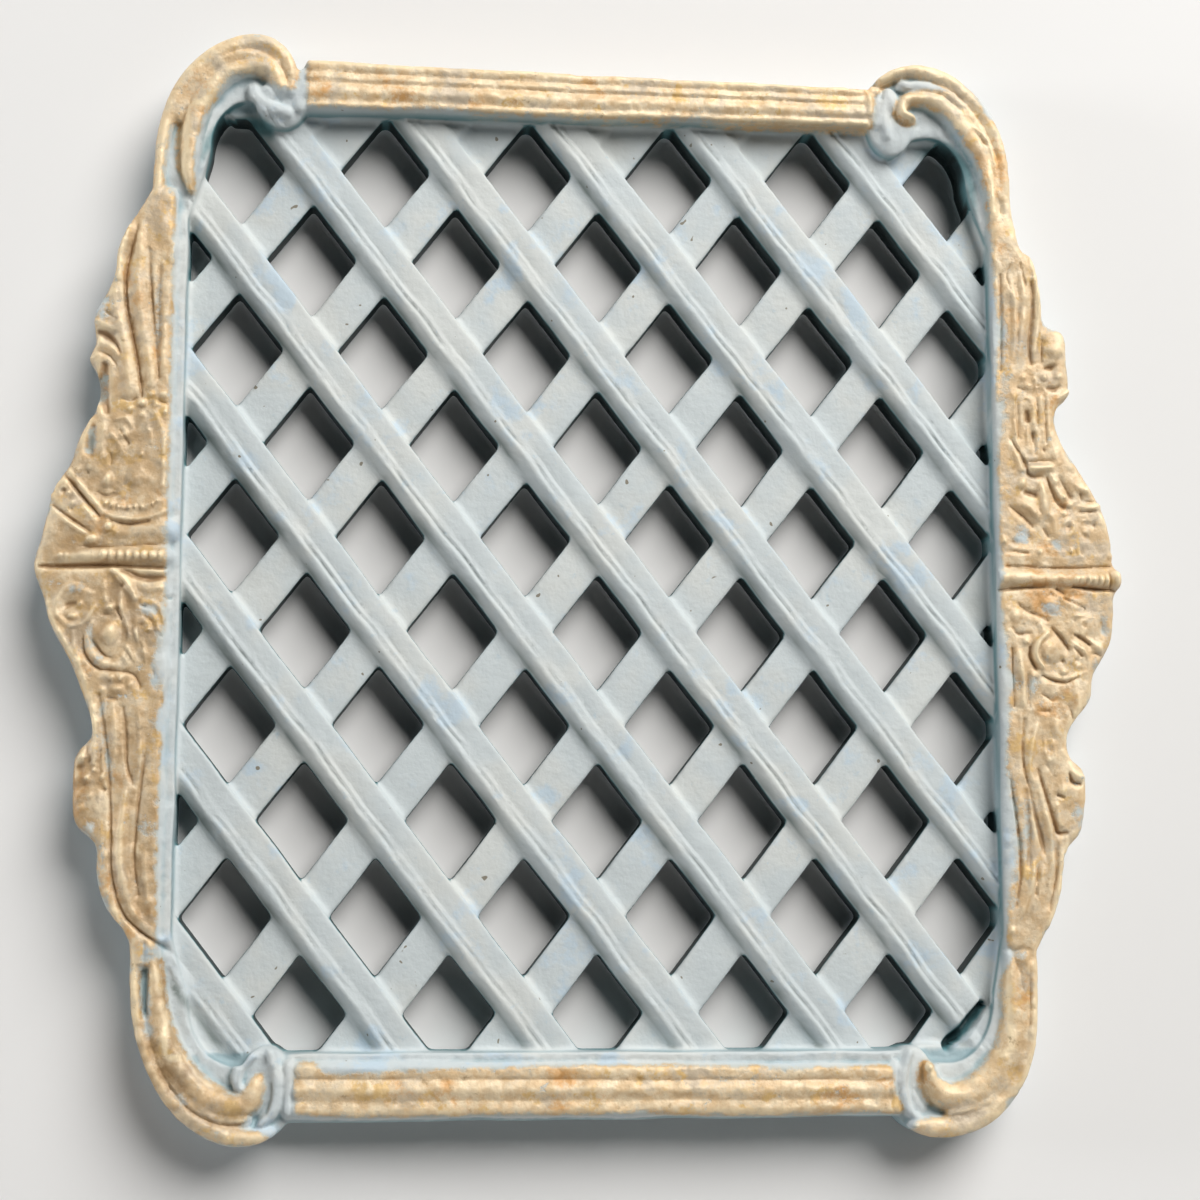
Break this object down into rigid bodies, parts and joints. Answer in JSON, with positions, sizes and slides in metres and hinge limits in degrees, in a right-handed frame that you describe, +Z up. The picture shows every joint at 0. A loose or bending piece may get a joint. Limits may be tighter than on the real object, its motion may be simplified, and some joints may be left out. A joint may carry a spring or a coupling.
{
  "type": "wall grille panel",
  "caption": "Rectangular wall grille: a raised diamond lattice in a gilt moulded frame with scrolled corners and shell and leaf ornaments at the middle of each side.",
  "frame": {"origin": "the flat back, at the lattice crossing above the middle opening, where the panel rests against the wall", "axes": "+Y points back into the wall, out of the flat back face; the carved front faces -Y; +Z is up and +X is to the viewer's right"},
  "size_m": [0.2606, 0.0176, 0.2655],
  "materials": {
    "painted_and_gilded": "matt pale blue-grey paint on cast plaster, with worn gold leaf on the frame"
  },
  "bodies": {
    "root": {"grille": "painted_and_gilded"}
  },
  "joints": []
}
